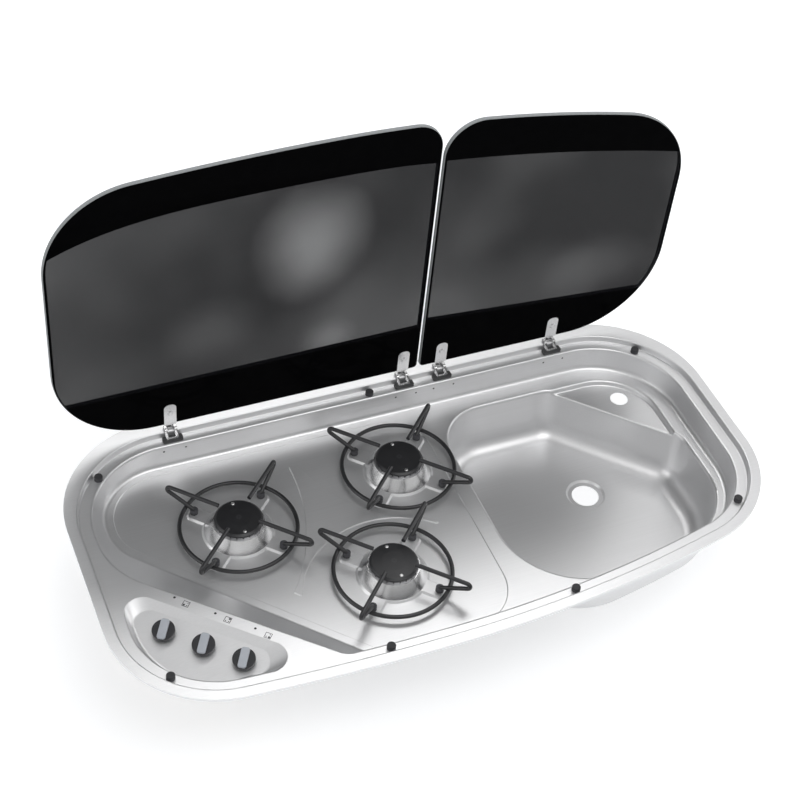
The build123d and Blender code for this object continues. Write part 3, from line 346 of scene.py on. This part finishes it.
# ------------------------------------------------------------------ finish of the nodes
FINISHES = ((STEEL, "sink_pan", "sink_bowl", "tap_shelf"),
            (SEAL, "rim_seal"),
            (RUBBER, "lid_buffers", "trivet_feet"),
            (WIRE, "trivet"),
            (POLISHED, "burner_skirt"),
            (ALLOY, "burner_head", "burner_cup"),
            (ENAMEL, "burner_cap"),
            (RIVET, "cap_rivets"),
            (GRIP, "knob_grip"),
            (KNOB, "knob"),
            (BRASS, "tap_spindle", "gas_tap", "injectors"),
            (ZINC, "gas_rail", "feed_pipe"),
            (COPPER, "gas_inlet"),
            (HINGE_BASE, "hinge_bases"),
            (BRIGHT, "hinge_brackets", "hinge_pins", "hinge_leaves", "hinge_bolts"),
            (HOB_GLASS, "hob_lid_glass"),
            (SINK_GLASS, "sink_lid_glass"))


def finish_of(name):
    """The first finish that lists a start of the node's name."""
    return next(mat for mat, *starts in FINISHES if name.startswith(tuple(starts)))


for name, obj in NODES.items():
    obj.data.materials.clear()
    obj.data.materials.append(finish_of(name))


# ------------------------------------------------------------------ meshes
def circle(x, y, radius, sides):
    return [(x + radius * cos(2 * pi * i / sides), y + radius * sin(2 * pi * i / sides))
            for i in range(sides)]


def prism(bm, near, far):
    """Closed solid between two outlines with as many points each."""
    near = [bm.verts.new(point) for point in near]
    far = [bm.verts.new(point) for point in far]
    bm.faces.new(near[::-1])
    bm.faces.new(far)
    for i in range(len(near)):
        bm.faces.new((near[i - 1], near[i], far[i], far[i - 1]))


def mesh_object(name, bm, mat):
    mesh = bpy.data.meshes.new(name)
    bm.to_mesh(mesh)
    bm.free()
    mesh.materials.append(mat)
    obj = bpy.data.objects.new(name, mesh)
    SCENE.collection.objects.link(obj)
    return obj


def new_piece(name, bm, mat, body):
    """Closed mesh that is in the scene alone, riding on a body."""
    bmesh.ops.recalc_face_normals(bm, faces=bm.faces)
    obj = mesh_object(name, bm, mat)
    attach(obj, body)


# ------------------------------------------------------------------ control signs
LEDGE_Z = -0.0035        # top of the ledge that they are printed on
PRINT_T = 0.00008
DOTS = ((-0.354, -0.053), (-0.315, -0.092), (-0.277, -0.129))      # left knob's first
SIGNS = ((-0.344, -0.067), (-0.304, -0.106), (-0.266, -0.144))
SPOTS = ((-1, -1), (1, 1), (1, -1))      # each knob's burner, as its side of the sign's middle
DOT_R = 0.0016
SIGN_W = 0.0085          # square sign
SIGN_LINE = 0.0007
SIGN_GAP = 0.00001       # between its lines at the corners
SPOT_OFF = 0.23 * SIGN_W
SPOT_R = 0.0007
SPOT_R_LIT = 0.0014      # the spot of the knob's own burner


def middle(name):
    """Middle of a node's box, seen from above."""
    low, high = node_box(name)
    return ((low + high) / 2).to_2d()


ROW = (middle("knob_right") - middle("knob_left")).normalized()      # along the row of knobs
ACROSS = Vector((-ROW.y, ROW.x))


def printed_shape(bm, outline):
    """Thin solid on the ledge."""
    prism(bm, *([(x, y, z) for x, y in outline] for z in (LEDGE_Z, LEDGE_Z + PRINT_T)))


def bar(bm, centre, along, across):
    """Oblong turned with the row of knobs."""
    sides = ((-1, -1), (1, -1), (1, 1), (-1, 1))
    printed_shape(bm, [centre + ROW * a * along / 2 + ACROSS * b * across / 2 for a, b in sides])


def control_mark(name, dot, sign, lit):
    """A knob's dot, and a square with a spot for each burner."""
    bm = bmesh.new()
    printed_shape(bm, circle(*dot, DOT_R, 20))
    sign = Vector(sign)
    off = (SIGN_W - SIGN_LINE) / 2
    for side in (1, -1):
        bar(bm, sign + ACROSS * side * off, SIGN_W, SIGN_LINE)
        bar(bm, sign + ROW * side * off, SIGN_LINE, SIGN_W - 2 * (SIGN_LINE + SIGN_GAP))
    for spot in SPOTS:
        centre = sign + (ROW * spot[0] + ACROSS * spot[1]) * SPOT_OFF
        printed_shape(bm, circle(*centre, SPOT_R_LIT if spot == lit else SPOT_R, 14))
    new_piece(name, bm, PRINT, "pan")


for i, (dot, sign, spot) in enumerate(zip(DOTS, SIGNS, SPOTS), start=1):
    control_mark(f"control_mark_{i}", dot, sign, spot)


# ------------------------------------------------------------------ painted shade in the wall holes
HINGE_X = (-0.2795, 0.0495, 0.106, 0.275)
HOLE_OFF = 0.015         # a hole to either side of each hinge
HOLE_Z = -0.0126
SHADE_R = 0.0014
SHADE_Y = (0.1908, 0.1913)       # front and back of the painted shade, in the deep wall's thickness


def clip_hole_shade():
    """Dark discs in the small holes of the deep wall, two under each hinge: painted shade for the
    dark space behind the holes.
    """
    bm = bmesh.new()
    for hinge_x in HINGE_X:
        for off in (-HOLE_OFF, HOLE_OFF):
            ring = circle(hinge_x + off, HOLE_Z, SHADE_R, 16)
            prism(bm, *([(x, y, z) for x, z in ring] for y in SHADE_Y))
    # painted shade: the discs take the dark rubber finish, though nothing real fills the holes
    new_piece("clip_hole_shade", bm, RUBBER, "pan")


clip_hole_shade()

# ------------------------------------------------------------------ floor
FLOOR_DOWN = 0.0003      # under the object's lowest point
FLOOR_HALF = 6.0
FLOOR_GLOW = 0.44        # brings the floor up to white where the camera sees it


def stage_material():
    s = Shade("stage_white", Roughness=0.9)
    s.set(Base_Color=s.mix(s.noise(3.0), (0.79, 0.79, 0.79), (0.81, 0.81, 0.81)))
    s.set(Emission_Color=(1, 1, 1), Emission_Strength=s.math("MULTIPLY", s.seen(), FLOOR_GLOW))
    return s.mat


bm = bmesh.new()
bmesh.ops.create_grid(bm, x_segments=4, y_segments=4, size=FLOOR_HALF)
floor = mesh_object("floor", bm, stage_material())
floor.location.z = start_box[0].z - FLOOR_DOWN

# ------------------------------------------------------------------ light
SKY = (0.93, 0.96, 1.0)
SKY_STRENGTH = 0.55
# what shows behind and in reflections: grey by Z of the direction, 0 level and 1 straight up
ROOM_GREYS = ((0.0, 0.85), (0.12, 0.62), (0.35, 0.42), (0.62, 0.44), (0.82, 0.60), (1.0, 0.48))


def studio_world():
    """Grey room where the camera sees it or its reflection, and a plain sky for the light."""
    world = bpy.data.worlds.new("studio")
    SCENE.world = world
    world.use_nodes = True
    g = Graph(world.node_tree)
    ramp = g.add("ShaderNodeValToRGB")
    g.link(g.xyz("Generated")[2], ramp.inputs[0])
    while len(ramp.color_ramp.elements) < len(ROOM_GREYS):
        ramp.color_ramp.elements.new(0.5)
    for element, (height, grey) in zip(ramp.color_ramp.elements, ROOM_GREYS):
        element.position = height
        element.color = (grey, grey, grey, 1)
    sky, room = (g.add("ShaderNodeBackground") for _ in range(2))
    g.feed(SKY, sky.inputs["Color"])
    g.feed(SKY_STRENGTH, sky.inputs["Strength"])
    g.feed(ramp.outputs[0], room.inputs["Color"])
    both = g.add("ShaderNodeMixShader")
    for output, socket in zip((g.seen(), sky.outputs[0], room.outputs[0]), both.inputs):
        g.link(output, socket)
    g.link(both.outputs[0], g.add("ShaderNodeOutputWorld").inputs[0])


def softbox(name, at, aim, size, watts):
    data = bpy.data.lights.new(name, "AREA")
    data.shape = "RECTANGLE"
    data.size, data.size_y = size
    data.energy = watts
    lamp = bpy.data.objects.new(name, data)
    lamp.location = at
    lamp.rotation_euler = (Vector(aim) - Vector(at)).to_track_quat("-Z", "Y").to_euler()
    SCENE.collection.objects.link(lamp)


studio_world()
softbox("key_light", at=(-1.9, 0.1, 1.0), aim=(0, 0, -0.05), size=(1.0, 1.0), watts=6)
softbox("back_light", at=(0.50, 1.35, 2.05), aim=(0.0, -0.2, -0.05), size=(1.5, 0.75), watts=11)
softbox("top_light", at=(0.35, -0.9, 2.3), aim=(0, 0, 0), size=(1.8, 1.2), watts=16)
softbox("side_light", at=(2.0, 0.2, 1.1), aim=(0.1, 0, -0.05), size=(0.9, 1.4), watts=6)

# ------------------------------------------------------------------ camera
CAMERA_AT = (-0.7078, -1.3284, 1.6533)
AZIMUTH = 26.25          # degrees that it is turned to the right of Y
DOWN = 44.65             # degrees that it looks down
ROLL = 5.82              # degrees that it is rolled
LENS_MM = 77.85
SENSOR_MM = 36
CLIP_END = 30


def photo_camera():
    """Camera at the photograph's viewing angle."""
    azimuth, down, roll = radians(AZIMUTH), radians(DOWN), radians(ROLL)
    ahead = Vector((sin(azimuth) * cos(down), cos(azimuth) * cos(down), -sin(down)))
    level = Vector((cos(azimuth), -sin(azimuth), 0))
    above = level.cross(ahead)
    right = cos(roll) * level + sin(roll) * above
    up = cos(roll) * above - sin(roll) * level
    data = bpy.data.cameras.new("camera")
    data.lens = LENS_MM
    data.sensor_width = SENSOR_MM
    data.clip_end = CLIP_END
    camera = bpy.data.objects.new("camera", data)
    turn = Matrix((right, up, -ahead)).transposed().to_4x4()
    camera.matrix_world = Matrix.Translation(CAMERA_AT) @ turn
    SCENE.collection.objects.link(camera)
    return camera


bpy.context.scene.camera = photo_camera()
bpy.context.scene.view_settings.view_transform = "Standard"
